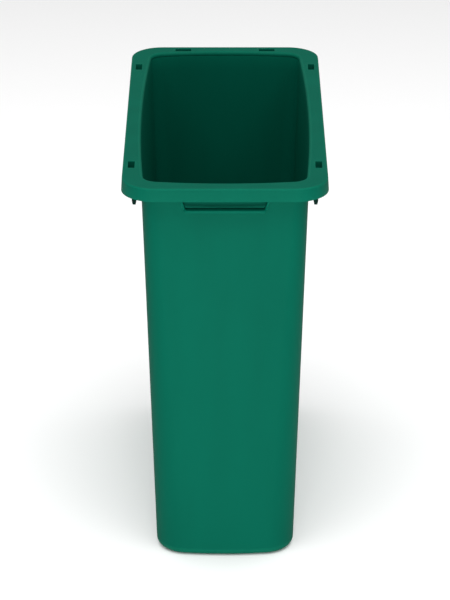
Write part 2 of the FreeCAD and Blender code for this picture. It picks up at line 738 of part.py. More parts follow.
for item in doc.Objects:
    if "Invalid" in item.State or "Error" in item.State:
        raise RuntimeError(f"{item.Name} is {item.State}")
os.makedirs("parts", exist_ok=True)
for body in bodies:
    if body.Shape.isNull() or not body.Shape.isValid():
        raise RuntimeError(f"{body.Label} has no valid shape")
    box = body.Shape.BoundBox
    print(f"{body.Label}: {len(body.Shape.Solids)} solid, {body.Shape.Volume / 1000:.1f} cm3, "
          f"x {box.XMin:.1f}..{box.XMax:.1f}, y {box.YMin:.1f}..{box.YMax:.1f}, "
          f"z {box.ZMin:.1f}..{box.ZMax:.1f}")
for body in bodies:
    body.Shape.exportStep(f"parts/{body.Label}.step")
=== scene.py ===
# %% [markdown]
# # A slim litter bin in moulded polypropylene
#
# The design comes from CAD as a fixed frame: a tapered tub, a hinged collar that
# traps the liner, a finger grip, two pegs and two steel pins. This lesson gives the
# bin its looks. Everything is in metres, +Z up, with the bin's front towards -Y.
# Each finished piece replaces the plain CAD piece of the same place and size.

# %% Load the frame
import math

import bmesh
import bpy
from mathutils import Matrix, Vector


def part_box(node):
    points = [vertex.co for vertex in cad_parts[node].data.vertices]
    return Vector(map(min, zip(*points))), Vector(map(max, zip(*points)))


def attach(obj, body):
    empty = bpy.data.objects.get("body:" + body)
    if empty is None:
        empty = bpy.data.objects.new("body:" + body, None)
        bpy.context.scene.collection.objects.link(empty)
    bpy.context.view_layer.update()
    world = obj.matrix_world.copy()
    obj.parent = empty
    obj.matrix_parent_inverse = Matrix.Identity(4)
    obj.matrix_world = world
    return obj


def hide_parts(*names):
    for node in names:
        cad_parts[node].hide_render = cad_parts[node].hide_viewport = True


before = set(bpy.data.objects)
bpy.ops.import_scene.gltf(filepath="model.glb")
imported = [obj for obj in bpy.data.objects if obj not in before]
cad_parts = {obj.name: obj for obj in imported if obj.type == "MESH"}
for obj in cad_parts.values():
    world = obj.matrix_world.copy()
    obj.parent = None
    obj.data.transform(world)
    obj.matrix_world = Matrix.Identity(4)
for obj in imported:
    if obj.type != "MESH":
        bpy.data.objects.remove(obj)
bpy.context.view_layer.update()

MM = 0.001
collar_low, collar_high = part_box("collar")
tub_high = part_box("tub")[1]

# %% [markdown]
# ## Camera
#
# The bin is seen from in front and a little above, with a long lens, so that its
# sides stay nearly parallel. The camera stands opposite the rim and looks down at
# about 24 degrees. Its place is measured from the rim's front edge.

# %% The camera
CAMERA_AHEAD_OF_RIM = 3.7703
CAMERA_ABOVE_RIM = 1.5047
LOOK_DOWN = math.radians(23.889)
LENS = 178.5
SENSOR_WIDTH = 36.0

camera_data = bpy.data.cameras.new("camera")
camera_data.lens = LENS
camera_data.sensor_width = SENSOR_WIDTH
camera = bpy.data.objects.new("camera", camera_data)
camera.location = (0.0, collar_low.y - CAMERA_AHEAD_OF_RIM, collar_high.z + CAMERA_ABOVE_RIM)
camera.rotation_euler = (math.pi / 2 - LOOK_DOWN, 0.0, 0.0)
bpy.context.scene.collection.objects.link(camera)
bpy.context.scene.camera = camera
print("camera at", [round(value, 4) for value in camera.location])

# %% [markdown]
# ## Colour and nodes
#
# A shader works in linear light, but colours are easiest to read as sRGB hex
# values, so one function turns them. Another adds a node to any tree, for the
# materials and for the Geometry Nodes alike: it sets the node's properties, and
# its inputs to values or to links.

# %% Colours
def linear(hex_colour):
    """An sRGB hex colour as the linear red, green, blue and alpha that a shader wants."""
    channels = [int(hex_colour[start:start + 2], 16) / 255 for start in (1, 3, 5)]
    curve = [c / 12.92 if c <= 0.04045 else ((c + 0.055) / 1.055) ** 2.4 for c in channels]
    return (*curve, 1.0)


# %% A helper that adds a node
def add_node(tree, kind, settings=None, inputs=None):
    """Add one node to a tree, set its properties, and set or link its inputs."""
    node = tree.nodes.new(kind)
    for name, value in (settings or {}).items():
        setattr(node, name, value)
    for name, value in (inputs or {}).items():
        if isinstance(value, bpy.types.NodeSocket):
            tree.links.new(value, node.inputs[name])
        else:
            node.inputs[name].default_value = value
    return node


# %% [markdown]
# ## Moulded polypropylene
#
# The tub, the collar and the grip are injection-moulded polypropylene, a soft
# satin plastic whose colour goes right through. The mould's surface is etched to a
# fine grain, which spreads the reflection of the lights until the plastic looks
# nearly matt. What tells it from paint is small: the pigment flows in long faint
# streaks up the wall, the grain breaks the light, and edges that hands and floors
# rub are a little paler and smoother.
#
# The `rub` attribute on a mesh says where its edges are. It is written with the
# shape, so the wear stays on its edge wherever the piece goes.

# %% Polypropylene
def moulded_polypropylene(name, hex_colour, worn_hex, roughness, grain):
    """Satin polypropylene. `grain` is the width of its etched texture in metres."""
    material = bpy.data.materials.new(name)
    material.use_nodes = True
    tree = material.node_tree
    shader = tree.nodes["Principled BSDF"]
    # polypropylene refracts at about 1.49; its grain leaves little of the mirror part
    shader.inputs["IOR"].default_value = 1.49
    shader.inputs["Specular IOR Level"].default_value = 0.03
    place = add_node(tree, "ShaderNodeTexCoord").outputs["Object"]

    # pigment streaks: 60 mm wide and five times as long, up the wall
    streak_width = 60 * MM
    upright = add_node(tree, "ShaderNodeMapping", None, {"Vector": place, "Scale": (1, 1, 0.2)})
    streaks = add_node(tree, "ShaderNodeTexNoise", None, {
        "Vector": upright.outputs["Vector"], "Scale": 1 / streak_width, "Detail": 3.0,
        "Roughness": 0.55})
    pigment = add_node(tree, "ShaderNodeValToRGB", None, {"Fac": streaks.outputs["Fac"]})
    base = linear(hex_colour)
    pigment.color_ramp.elements[0].position = 0.3
    pigment.color_ramp.elements[1].position = 0.7
    pigment.color_ramp.elements[0].color = tuple(0.95 * c for c in base[:3]) + (1.0,)
    pigment.color_ramp.elements[1].color = tuple(min(1.0, 1.05 * c) for c in base[:3]) + (1.0,)

    # wear: the rubbed edges, broken up by 4 mm patches
    patches = add_node(tree, "ShaderNodeTexNoise", None, {
        "Vector": place, "Scale": 1 / (4 * MM), "Detail": 4.0, "Roughness": 0.7})
    rub = add_node(tree, "ShaderNodeAttribute", {"attribute_name": "rub"})
    worn = add_node(tree, "ShaderNodeMath", {"operation": "MULTIPLY"}, {
        0: rub.outputs["Fac"], 1: patches.outputs["Fac"]})
    colour = add_node(tree, "ShaderNodeMix", {"data_type": "RGBA"}, {
        "Factor": worn.outputs["Value"], 6: pigment.outputs["Color"], 7: linear(worn_hex)})
    tree.links.new(colour.outputs[2], shader.inputs["Base Color"])

    # the etched grain, and the gloss it leaves: finer and rougher in 1 mm spots
    etched = add_node(tree, "ShaderNodeTexNoise", None, {
        "Vector": place, "Scale": 1 / grain, "Detail": 2.0, "Roughness": 0.6})
    gloss = add_node(tree, "ShaderNodeMapRange", None, {
        "Value": etched.outputs["Fac"], "To Min": roughness - 0.05, "To Max": roughness + 0.05})
    polished = add_node(tree, "ShaderNodeMath", {"operation": "MULTIPLY_ADD"}, {
        0: worn.outputs["Value"], 1: -0.15, 2: gloss.outputs["Result"]})
    tree.links.new(polished.outputs["Value"], shader.inputs["Roughness"])
    bump = add_node(tree, "ShaderNodeBump", None, {
        "Height": etched.outputs["Fac"], "Strength": 0.35, "Distance": 0.1 * MM})
    tree.links.new(bump.outputs["Normal"], shader.inputs["Normal"])
    return material


# the real grain is about 0.2 mm; 1.1 mm is the finest that a picture of the whole bin shows
GRAIN = 1.1 * MM
green = moulded_polypropylene("moulded_polypropylene_green", "#00503F", "#0E664F", 0.6, GRAIN)
# the pegs' near-black green is partly dark nylon and partly painted shade: the shade they sit in under
# the collar
dark = moulded_polypropylene("moulded_nylon_dark_green", "#021D17", "#082E26", 0.6, GRAIN)
print("materials:", green.name, "and", dark.name)

# %% [markdown]
# ## Drawn steel
#
# The hinge pins are cut from bright drawn steel wire. Drawing leaves fine lines
# along the wire and a soft, slightly streaky shine.

# %% Steel
def drawn_steel(name, hex_colour):
    material = bpy.data.materials.new(name)
    material.use_nodes = True
    tree = material.node_tree
    shader = tree.nodes["Principled BSDF"]
    shader.inputs["Base Color"].default_value = linear(hex_colour)
    shader.inputs["Metallic"].default_value = 1.0
    place = add_node(tree, "ShaderNodeTexCoord").outputs["Object"]
    # die lines: 0.3 mm wide and thirty times as long, along the pin
    along = add_node(tree, "ShaderNodeMapping", None, {"Vector": place, "Scale": (1 / 30, 1, 1)})
    lines = add_node(tree, "ShaderNodeTexNoise", None, {
        "Vector": along.outputs["Vector"], "Scale": 1 / (0.3 * MM), "Detail": 2.0})
    sheen = add_node(tree, "ShaderNodeMapRange", None, {
        "Value": lines.outputs["Fac"], "To Min": 0.22, "To Max": 0.42})
    tree.links.new(sheen.outputs["Result"], shader.inputs["Roughness"])
    bump = add_node(tree, "ShaderNodeBump", None, {
        "Height": lines.outputs["Fac"], "Strength": 0.3, "Distance": 0.02 * MM})
    tree.links.new(bump.outputs["Normal"], shader.inputs["Normal"])
    return material


steel = drawn_steel("drawn_steel", "#B9BCC0")
print("material:", steel.name)

# %% [markdown]
# ## Outlines
#
# Seen from above, every level of this bin is the same kind of figure: two long
# sides that bow out a little, two crowned ends, and four round corners, all arcs
# that run into each other. The corner's centre lies where two circles cross, one
# about each bow's centre. A straight side is a bow of many kilometres.
#
# Each outline has the same number of points on each arc, so that two outlines
# match point by point, and each point knows which way is outwards.

# %% Outlines
SIDE_STEPS, CORNER_STEPS, END_STEPS = 36, 14, 20
STRAIGHT = 10000.0


def crowned_outline(half_width, half_depth, side_bow, end_bow, corner,
                    steps=(SIDE_STEPS, CORNER_STEPS, END_STEPS)):
    """The points of an outline, anticlockwise, each with its outward direction."""
    side_x, end_y = half_width - side_bow, half_depth - end_bow
    reach_side, reach_end = side_bow - corner, end_bow - corner
    apart = math.hypot(side_x, end_y)
    along = (reach_side ** 2 - reach_end ** 2 + apart ** 2) / (2 * apart)
    across = math.sqrt(reach_side ** 2 - along ** 2)
    corner_x = side_x - along * side_x / apart - across * end_y / apart
    corner_y = along * end_y / apart - across * side_x / apart
    side_turn = math.atan2(corner_y, corner_x - side_x)
    end_turn = math.atan2(corner_y - end_y, corner_x)
    half = math.pi
    side_steps, corner_steps, end_steps = steps
    arcs = [
        (side_x, 0, side_bow, -side_turn, side_turn, side_steps),
        (corner_x, corner_y, corner, side_turn, end_turn, corner_steps),
        (0, end_y, end_bow, end_turn, half - end_turn, end_steps),
        (-corner_x, corner_y, corner, half - end_turn, half - side_turn, corner_steps),
        (-side_x, 0, side_bow, half - side_turn, half + side_turn, side_steps),
        (-corner_x, -corner_y, corner, half + side_turn, half + end_turn, corner_steps),
        (0, -end_y, end_bow, half + end_turn, 2 * half - end_turn, end_steps),
        (corner_x, -corner_y, corner, -end_turn, -side_turn, corner_steps),
    ]
    points = []
    for centre_x, centre_y, radius, start, end, count in arcs:
        for step in range(count):
            angle = start + (end - start) * step / count
            way_x, way_y = math.cos(angle), math.sin(angle)
            # worked out in plain numbers: a Vector is too coarse for a bow of kilometres
            place = (centre_x + radius * way_x, centre_y + radius * way_y, 0.0)
            points.append((Vector(place), Vector((way_x, way_y, 0.0))))
    return points


def round_outline(radius, count=32):
    """A circle, in the same form."""
    ways = [Vector((math.cos(2 * math.pi * n / count), math.sin(2 * math.pi * n / count), 0.0))
            for n in range(count)]
    return [(radius * way, way) for way in ways]


# %% [markdown]
# ## One tree that lofts
#
# A loft needs two outlines and a section. The section is a list of rows, and each
# row says how high it is, how far it stands off the outline, how much of the second
# outline it follows, and how far it closes towards the middle. The Geometry Nodes
# tree starts from a flat grid with one column for each point of the outline and
# one row for each row of the section, and puts each grid point in its place. Its
# inputs are the two outlines, the section and the material.
#
# The same tree makes the tub, the collar, the pegs, the pins and the shapes that
# cut their holes. Its points are looked up by number, so nothing is smoothed away.

# %% Rows of a section
def row(height, offset=0.0, blend=0.0, shrink=0.0, rub=0.0):
    """One row: its height, stand-off, share of the second outline, closing and wear."""
    return {"height": height, "offset": offset, "blend": blend, "shrink": shrink, "rub": rub}


def arc_rows(centre_offset, centre_height, radius, start, end, steps, **more):
    """Rows round a quarter turn of the section, angles in degrees from outwards to up."""
    rows = []
    for step in range(steps + 1):
        angle = math.radians(start + (end - start) * step / steps)
        rows.append(row(centre_height + radius * math.sin(angle),
                        centre_offset + radius * math.cos(angle), **more))
    return rows


# %% Meshes that hold outlines and sections for the tree
def keep_points(name, places, attributes):
    """A mesh of loose points that carries one value of each attribute per point."""
    mesh = bpy.data.meshes.new(name)
    mesh.from_pydata(places, [], [])
    for attribute, (kind, values) in attributes.items():
        layer = mesh.attributes.new(attribute, kind, "POINT")
        for number, value in enumerate(values):
            if kind == "FLOAT_VECTOR":
                layer.data[number].vector = value
            else:
                layer.data[number].value = value
    holder = bpy.data.objects.new(name, mesh)
    bpy.context.scene.collection.objects.link(holder)
    return holder


def keep_outline(name, outline):
    places = [tuple(place) for place, _ in outline]
    return keep_points(name, places, {"outward": ("FLOAT_VECTOR", [way for _, way in outline])})


def keep_section(name, rows):
    places = [(0.0, 0.0, entry["height"]) for entry in rows]
    values = {key: ("FLOAT", [entry[key] for entry in rows])
              for key in ("offset", "blend", "shrink", "rub")}
    return keep_points(name, places, values)


# %% The lofting tree
def add_input(tree, name, kind):
    return tree.interface.new_socket(name=name, in_out="INPUT", socket_type=kind)


def look_up(tree, geometry, index, kind, attribute):
    """The value that a point of the geometry has, found by the point's number."""
    if attribute == "position":
        value = add_node(tree, "GeometryNodeInputPosition").outputs["Position"]
    else:
        value = add_node(tree, "GeometryNodeInputNamedAttribute", {"data_type": kind},
                         {"Name": attribute}).outputs["Attribute"]
    sample = add_node(tree, "GeometryNodeSampleIndex", {"data_type": kind, "domain": "POINT"},
                      {"Geometry": geometry, "Value": value, "Index": index})
    return sample.outputs["Value"]


def build_loft_tree():
    tree = bpy.data.node_groups.new("loft_between_outlines", "GeometryNodeTree")
    for name in ("First outline", "Second outline", "Section"):
        add_input(tree, name, "NodeSocketObject")
    for name in ("Columns", "Rows"):
        add_input(tree, name, "NodeSocketInt")
    add_input(tree, "Material", "NodeSocketMaterial")
    tree.interface.new_socket(name="Piece", in_out="OUTPUT", socket_type="NodeSocketGeometry")
    given = add_node(tree, "NodeGroupInput").outputs
    shapes = [
        add_node(tree, "GeometryNodeObjectInfo", None, {"Object": given[name]}).outputs["Geometry"]
        for name in ("First outline", "Second outline", "Section")]
    first, second, section = shapes

    # one column more than the outline has points: it closes the loft on itself
    closing = add_node(tree, "ShaderNodeMath", {"operation": "ADD"},
                       {0: given["Columns"], 1: 1.0}).outputs["Value"]
    grid = add_node(tree, "GeometryNodeMeshGrid", None,
                    {"Vertices X": closing, "Vertices Y": given["Rows"]}).outputs["Mesh"]
    index = add_node(tree, "GeometryNodeInputIndex").outputs["Index"]
    share = add_node(tree, "ShaderNodeMath", {"operation": "DIVIDE"}, {0: index, 1: given["Rows"]})
    whole = add_node(tree, "ShaderNodeMath", {"operation": "FLOOR"}, {0: share.outputs["Value"]})
    column = add_node(tree, "ShaderNodeMath", {"operation": "MODULO"},
                      {0: whole.outputs["Value"], 1: given["Columns"]}).outputs["Value"]
    level = add_node(tree, "ShaderNodeMath", {"operation": "MODULO"},
                     {0: index, 1: given["Rows"]}).outputs["Value"]

    vector, number = "FLOAT_VECTOR", "FLOAT"
    height = look_up(tree, section, level, vector, "position")
    offset, blend, shrink, rub = (look_up(tree, section, level, number, name)
                                  for name in ("offset", "blend", "shrink", "rub"))

    def between(attribute):
        """The first outline's value, moved towards the second's by the row's blend."""
        start = look_up(tree, first, column, vector, attribute)
        finish = look_up(tree, second, column, vector, attribute)
        change = add_node(tree, "ShaderNodeVectorMath", {"operation": "SUBTRACT"},
                          {0: finish, 1: start}).outputs["Vector"]
        return add_node(tree, "ShaderNodeVectorMath", {"operation": "MULTIPLY_ADD"},
                        {0: change, 1: blend, 2: start}).outputs["Vector"]

    way = add_node(tree, "ShaderNodeVectorMath", {"operation": "NORMALIZE"},
                   {0: between("outward")}).outputs["Vector"]
    stand_off = add_node(tree, "ShaderNodeVectorMath", {"operation": "MULTIPLY_ADD"},
                         {0: way, 1: offset, 2: between("position")}).outputs["Vector"]
    keep = add_node(tree, "ShaderNodeMath", {"operation": "SUBTRACT"},
                    {0: 1.0, 1: shrink}).outputs["Value"]
    place = add_node(tree, "ShaderNodeVectorMath", {"operation": "MULTIPLY_ADD"},
                     {0: stand_off, 1: keep, 2: height}).outputs["Vector"]

    placed = add_node(tree, "GeometryNodeSetPosition", None, {"Geometry": grid, "Position": place})
    worn = add_node(tree, "GeometryNodeStoreNamedAttribute",
                    {"data_type": number, "domain": "POINT"},
                    {"Geometry": placed.outputs["Geometry"], "Name": "rub", "Value": rub})
    closed = add_node(tree, "GeometryNodeMergeByDistance", None,
                      {"Geometry": worn.outputs["Geometry"], "Distance": 0.01 * MM})
    smooth = add_node(tree, "GeometryNodeSetShadeSmooth", None,
                      {0: closed.outputs["Geometry"]})
    real = add_node(tree, "GeometryNodeRealizeInstances", None,
                    {"Geometry": smooth.outputs[0]})
    painted = add_node(tree, "GeometryNodeSetMaterial", None,
                       {"Geometry": real.outputs["Geometry"], "Material": given["Material"]})
    add_node(tree, "NodeGroupOutput", None, {"Piece": painted.outputs["Geometry"]})
    return tree


loft_tree = build_loft_tree()
print("the lofting tree has", len(loft_tree.nodes), "nodes")


# %% Run a tree and keep its mesh
def run_tree(name, tree, values):
    """A new object with the mesh that a Geometry Nodes tree makes from these inputs."""
    piece = bpy.data.objects.new(name, bpy.data.meshes.new(name))
    bpy.context.scene.collection.objects.link(piece)
    modifier = piece.modifiers.new("tree", "NODES")
    modifier.node_group = tree
    sockets = {item.name: item.identifier for item in tree.interface.items_tree
               if item.in_out == "INPUT"}
    for input_name, value in values.items():
        modifier[sockets[input_name]] = value
    bake(piece)
    return piece


def bake(piece):
    """Turn what the modifiers show into the object's own plain mesh."""
    graph = bpy.context.evaluated_depsgraph_get()
    made = bpy.data.meshes.new_from_object(piece.evaluated_get(graph), depsgraph=graph)
    made.name = piece.name
    piece.modifiers.clear()
    piece.data = made


def drop(*helpers):
    for helper in helpers:
        bpy.data.objects.remove(helper)


def loft(name, first, second, rows, material, centre=(0.0, 0.0)):
    """Loft a piece between two outlines, and put its middle where it belongs."""
    helpers = [keep_outline("first", first), keep_outline("second", second),
               keep_section("section", rows)]
    piece = run_tree(name, loft_tree, {
        "First outline": helpers[0], "Second outline": helpers[1], "Section": helpers[2],
        "Columns": len(first), "Rows": len(rows), "Material": material})
    drop(*helpers)
    piece.data.transform(Matrix.Translation((*centre, 0.0)))
    return piece


# %% Check a mesh
def report(piece):
    """Print a piece's triangles, its volume and whether it is closed."""
    shape = bmesh.new()
    shape.from_mesh(piece.data)
    open_edges = sum(1 for edge in shape.edges if not edge.is_manifold)
    litres = shape.calc_volume(signed=True) * 1000
    triangles = sum(len(face.verts) - 2 for face in shape.faces)
    shape.free()
    print(f"{piece.name}: {triangles} triangles, {litres:.4f} litres, {open_edges} open edges")


# %% [markdown]
# ## Sizes
#
# The frame's boxes give the bin's outer size, the height of the skirt and the
# height of the tub. The rest of the sizes are the design's own, written once here.

# %% Sizes of the collar and the tub
OPENING_SIDE_INSET, OPENING_END_INSET = 22.6 * MM, 24.0 * MM
OPENING_SIDE_BOW, OPENING_END_BOW, OPENING_CORNER = 3900 * MM, 710 * MM, 22 * MM
RIM_CORNER = 47.2 * MM
FLANGE = 3.0 * MM
SKIRT, FLARE = 2.8 * MM, 1.0 * MM
BEAD_WIDTH, BEAD_DEPTH = 4.8 * MM, 6.0 * MM
MOUTH_ROUND, RIM_ROUND, SOFT_EDGE = 4.0 * MM, 1.8 * MM, 0.6 * MM
TUB_WALL, FLOOR = 2.5 * MM, 3.0 * MM
SIDE_DRAFT, END_DRAFT = math.radians(1.8), math.radians(1.6)
BASE_SIDE_BOW, BASE_END_BOW, BASE_CORNER = 4300 * MM, 520 * MM, 45 * MM
BASE_ROUND = 10.9 * MM
FOOT_RING, FOOT_RECESS = 30 * MM, 2.5 * MM

half_width, half_depth = collar_high.x, collar_high.y
top, skirt_edge = collar_high.z, collar_low.z
under_flange = top - FLANGE
tub_top = tub_high.z
opening_half_width = half_width - OPENING_SIDE_INSET
opening_half_depth = half_depth - OPENING_END_INSET

rim = crowned_outline(half_width, half_depth, STRAIGHT, STRAIGHT, RIM_CORNER)
opening = crowned_outline(opening_half_width, opening_half_depth,
                          OPENING_SIDE_BOW, OPENING_END_BOW, OPENING_CORNER)
lip = crowned_outline(opening_half_width + TUB_WALL, opening_half_depth + TUB_WALL,
                      OPENING_SIDE_BOW + TUB_WALL, OPENING_END_BOW + TUB_WALL,
                      OPENING_CORNER + TUB_WALL)
side_taper, end_taper = tub_top * math.tan(SIDE_DRAFT), tub_top * math.tan(END_DRAFT)
base = crowned_outline(opening_half_width + TUB_WALL - side_taper,
                       opening_half_depth + TUB_WALL - end_taper,
                       BASE_SIDE_BOW, BASE_END_BOW, BASE_CORNER)
print("each outline has", len(rim), "points; the tub tapers by", round(side_taper / MM, 1),
      "mm at each side and", round(end_taper / MM, 1), "mm at each end")

# %% [markdown]
# ## Rounded blocks and joining
#
# Ears, bosses and ribs are small blocks with rounded edges. They are joined to
# their piece with exact booleans, so that each piece is one closed skin, as a
# moulding is. Sharp creases stay only where two faces meet at a real angle.

# %% Blocks, unions and cuts
def rounded_block(name, low, high, edge_round, material, segments=3):
    """A block between two corners with every edge rounded."""
    shape = bmesh.new()
    bmesh.ops.create_cube(shape, size=1.0)
    low, high = Vector(low), Vector(high)
    size = high - low
    for vertex in shape.verts:
        vertex.co = low + Vector((0.5 + vertex.co[axis]) * size[axis] for axis in range(3))
    bmesh.ops.bevel(shape, geom=shape.edges[:], offset=edge_round, segments=segments,
                    profile=0.5, affect="EDGES")
    mesh = bpy.data.meshes.new(name)
    shape.to_mesh(mesh)
    shape.free()
    mesh.materials.append(material)
    block = bpy.data.objects.new(name, mesh)
    bpy.context.scene.collection.objects.link(block)
    return block


def join(name, pieces):
    """Put several separate shells into one object."""
    shape = bmesh.new()
    for piece in pieces:
        shape.from_mesh(piece.data)
    mesh = bpy.data.meshes.new(name)
    shape.to_mesh(mesh)
    shape.free()
    mesh.materials.append(pieces[0].data.materials[0])
    joined = bpy.data.objects.new(name, mesh)
    bpy.context.scene.collection.objects.link(joined)
    drop(*pieces)
    return joined


def combine(piece, operation, tools):
    """Join tools to a piece (UNION) or cut them out of it (DIFFERENCE)."""
    tool = join("tool", tools)
    modifier = piece.modifiers.new("combine", "BOOLEAN")
    modifier.operation = operation
    modifier.solver = "EXACT"
    modifier.object = tool
    bake(piece)
    drop(tool)


CREASE = math.radians(32)


def finish_surface(piece, material):
    """Smooth the shading between creases and keep one material."""
    piece.data.materials.clear()
    piece.data.materials.append(material)
    for polygon in piece.data.polygons:
        polygon.use_smooth = True
        polygon.material_index = 0
    piece.data.set_sharp_from_angle(angle=CREASE)
    report(piece)


# %% [markdown]
# ## Tub
#
# The tub is one deep moulding. Its foot is a rounded ring, and the floor inside the
# ring stands off the ground. The wall leans out, the sides by 1.8 degrees and the ends by 1.6, so
# that tubs nest and leave the mould, and its corners tighten from 45 mm at the foot
# to 24.5 mm at the lip. The section goes out along the underside, up the outside,
# over the lip, down the inside and back along the floor.

# %% The tub's section
WALL_START = BASE_ROUND + 1 * MM
WALL_ROWS = 28
LIP_ROUND = 0.8 * MM
PANEL_ROUND = 1.0 * MM


def share_of_lip(height):
    return max(0.0, (height - WALL_START) / (tub_top - WALL_START))


def wall_rows(low, high, offset, count):
    heights = [low + (high - low) * step / count for step in range(count + 1)]
    return [row(height, offset, share_of_lip(height)) for height in heights]


inner_round = BASE_ROUND - TUB_WALL
foot = -FOOT_RING + PANEL_ROUND
tub_rows = [row(FOOT_RECESS, -FOOT_RING, shrink=1.0), row(FOOT_RECESS, -FOOT_RING - PANEL_ROUND)]
tub_rows += arc_rows(-FOOT_RING - PANEL_ROUND, FOOT_RECESS - PANEL_ROUND, PANEL_ROUND, 90, 0, 3)
tub_rows += arc_rows(foot, PANEL_ROUND, PANEL_ROUND, 180, 270, 3, rub=0.5)
tub_rows += arc_rows(-BASE_ROUND, BASE_ROUND, BASE_ROUND, 270, 360, 10, rub=0.6)
tub_rows += wall_rows(WALL_START, tub_top - LIP_ROUND, 0.0, WALL_ROWS)
tub_rows += arc_rows(-LIP_ROUND, tub_top - LIP_ROUND, LIP_ROUND, 15, 90, 3, blend=1.0)
tub_rows += arc_rows(LIP_ROUND - TUB_WALL, tub_top - LIP_ROUND, LIP_ROUND, 90, 165, 3, blend=1.0)
tub_rows += wall_rows(tub_top - LIP_ROUND, WALL_START, -TUB_WALL, WALL_ROWS)
tub_rows += arc_rows(-BASE_ROUND, FLOOR + inner_round, inner_round, 0, -90, 6)
tub_rows += [row(FLOOR, foot)]
tub_rows += arc_rows(foot, FLOOR + PANEL_ROUND, PANEL_ROUND, 270, 180, 3)
tub_rows += arc_rows(-FOOT_RING - PANEL_ROUND, FLOOR + FOOT_RECESS - PANEL_ROUND, PANEL_ROUND,
                     0, 90, 3)
tub_rows += [row(FLOOR + FOOT_RECESS, -FOOT_RING, shrink=1.0)]
tub = loft("moulded_tub", base, lip, tub_rows, green)
report(tub)

# %% [markdown]
# Two pairs of ears at the back hold the hinge pins, and a shelf on each side has an
# eye that a peg drops through. Their roots are sunk one millimetre into the wall.

# %% Hinge ears and peg eyes
HINGE_SPACING = 128.4 * MM
KNUCKLE, EAR, EAR_GAP, EAR_RADIUS = 11.0 * MM, 4.0 * MM, 0.4 * MM, 4.2 * MM
PIN_RADIUS, PIN_GAP = 2.0 * MM, 0.05 * MM
SINK = 1.0 * MM
EAR_EDGE, EYE_EDGE, KNUCKLE_EDGE, TAB_EDGE = 1.2 * MM, 1.0 * MM, 1.4 * MM, 0.5 * MM
pin_low, pin_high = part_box("hinge_pin_left")
hinge_y, hinge_z = (pin_low.y + pin_high.y) / 2, (pin_low.z + pin_high.z) / 2
hinge_places = (-HINGE_SPACING / 2, HINGE_SPACING / 2)


def wall_y(x):
    """How far back the tub's outer wall reaches at the hinge, at a given x."""
    reach = OPENING_END_BOW + TUB_WALL
    at_lip = opening_half_depth + TUB_WALL - reach + math.sqrt(reach ** 2 - x ** 2)
    return at_lip - (tub_top - hinge_z) * math.tan(END_DRAFT)


def lying_round(name, radius, low_x, high_x, y, z, material, chamfer=0.0):
    """A round bar along X, such as a pin or the shape that bores its hole."""
    rows = [row(low_x, -chamfer, shrink=1.0), row(low_x, -chamfer), row(low_x + chamfer),
            row(high_x - chamfer), row(high_x, -chamfer), row(high_x, -chamfer, shrink=1.0)]
    if not chamfer:
        rows = [rows[0], rows[1], rows[4], rows[5]]
    bar = loft(name, round_outline(radius), round_outline(radius), rows, material)
    # the loft stands along Z: turn it to lie along X, then lift it into place
    bar.data.transform(Matrix.Translation((0.0, y, z)) @ Matrix.Rotation(math.pi / 2, 4, "Y"))
    return bar


ears, bores = [], []
for middle in hinge_places:
    inner = KNUCKLE / 2 + EAR_GAP
    for start in (middle - inner - EAR, middle + inner):
        root = wall_y(max(abs(start), abs(start + EAR))) - SINK
        ears.append(rounded_block(
            "ear", (start, root, hinge_z - EAR_RADIUS),
            (start + EAR, hinge_y + EAR_RADIUS, hinge_z + EAR_RADIUS), EAR_EDGE, green))
    reach = inner + EAR + SINK
    bores.append(lying_round("bore", PIN_RADIUS, middle - reach, middle + reach,
                             hinge_y, hinge_z, green))

# %% Peg eyes
EYE_RIM, EYE_THICKNESS, EYE_BELOW_TOP = 2.6 * MM, 5.0 * MM, 21.0 * MM
EYE_SIDE_GAP, EYE_END_GAP, EYE_CORNER = 1.1 * MM, 3.2 * MM, 1.5 * MM
peg_low, peg_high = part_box("locating_peg_right")
peg_x, peg_y = (peg_low.x + peg_high.x) / 2, (peg_low.y + peg_high.y) / 2
peg_half = (peg_high.x - peg_low.x) / 2
eye_half_x, eye_half_y = peg_half + EYE_SIDE_GAP, peg_half + EYE_END_GAP
eye_top = top - EYE_BELOW_TOP
side_reach = OPENING_SIDE_BOW + TUB_WALL
eye_wall_x = (opening_half_width + TUB_WALL - side_reach
              + math.sqrt(side_reach ** 2 - peg_y ** 2) - (tub_top - eye_top) * math.tan(SIDE_DRAFT))


def window(name, x, y, half_x, half_y, low, high, corner, material, lead=0.0):
    """A shape that cuts a round-cornered window, flared at its top by a small lead."""
    outline = crowned_outline(half_x, half_y, STRAIGHT, STRAIGHT, corner, (4, 4, 4))
    rows = [row(low, shrink=1.0), row(low), row(high - lead)]
    rows += [row(high, lead), row(high + lead + SINK, lead), row(high + lead + SINK, shrink=1.0)]
    return loft(name, outline, outline, rows, material, (x, y))


eyes, eye_holes = [], []
for sign in (-1, 1):
    ends = sorted((sign * (eye_wall_x - SINK), sign * (peg_x + eye_half_x + EYE_RIM)))
    half_y = eye_half_y + EYE_RIM
    eyes.append(rounded_block("eye", (ends[0], peg_y - half_y, eye_top - EYE_THICKNESS),
                              (ends[1], peg_y + half_y, eye_top), EYE_EDGE, green))
    eye_holes.append(window("eye_hole", sign * peg_x, peg_y, eye_half_x, eye_half_y,
                            eye_top - EYE_THICKNESS - SINK, eye_top, EYE_CORNER, green,
                            SOFT_EDGE))
combine(tub, "UNION", ears + eyes)
combine(tub, "DIFFERENCE", bores + eye_holes)
finish_surface(tub, green)

# %% [markdown]
# ## Collar
#
# The collar is a flat flange with a skirt hung from its outer edge and a bead under
# its inner edge. The mouth is rounded so that a bag slides over it. The skirt flares
# by a millimetre on its way down, so that the moulding leaves its tool. Here the section blends from
# the rim's outline to the opening's: up the skirt, in over the flange, round the
# mouth, and back underneath.

# %% The collar's section
UNDER_FILLET = 1.0 * MM
bead_edge = top - BEAD_DEPTH
FLAT = 0.6 * MM

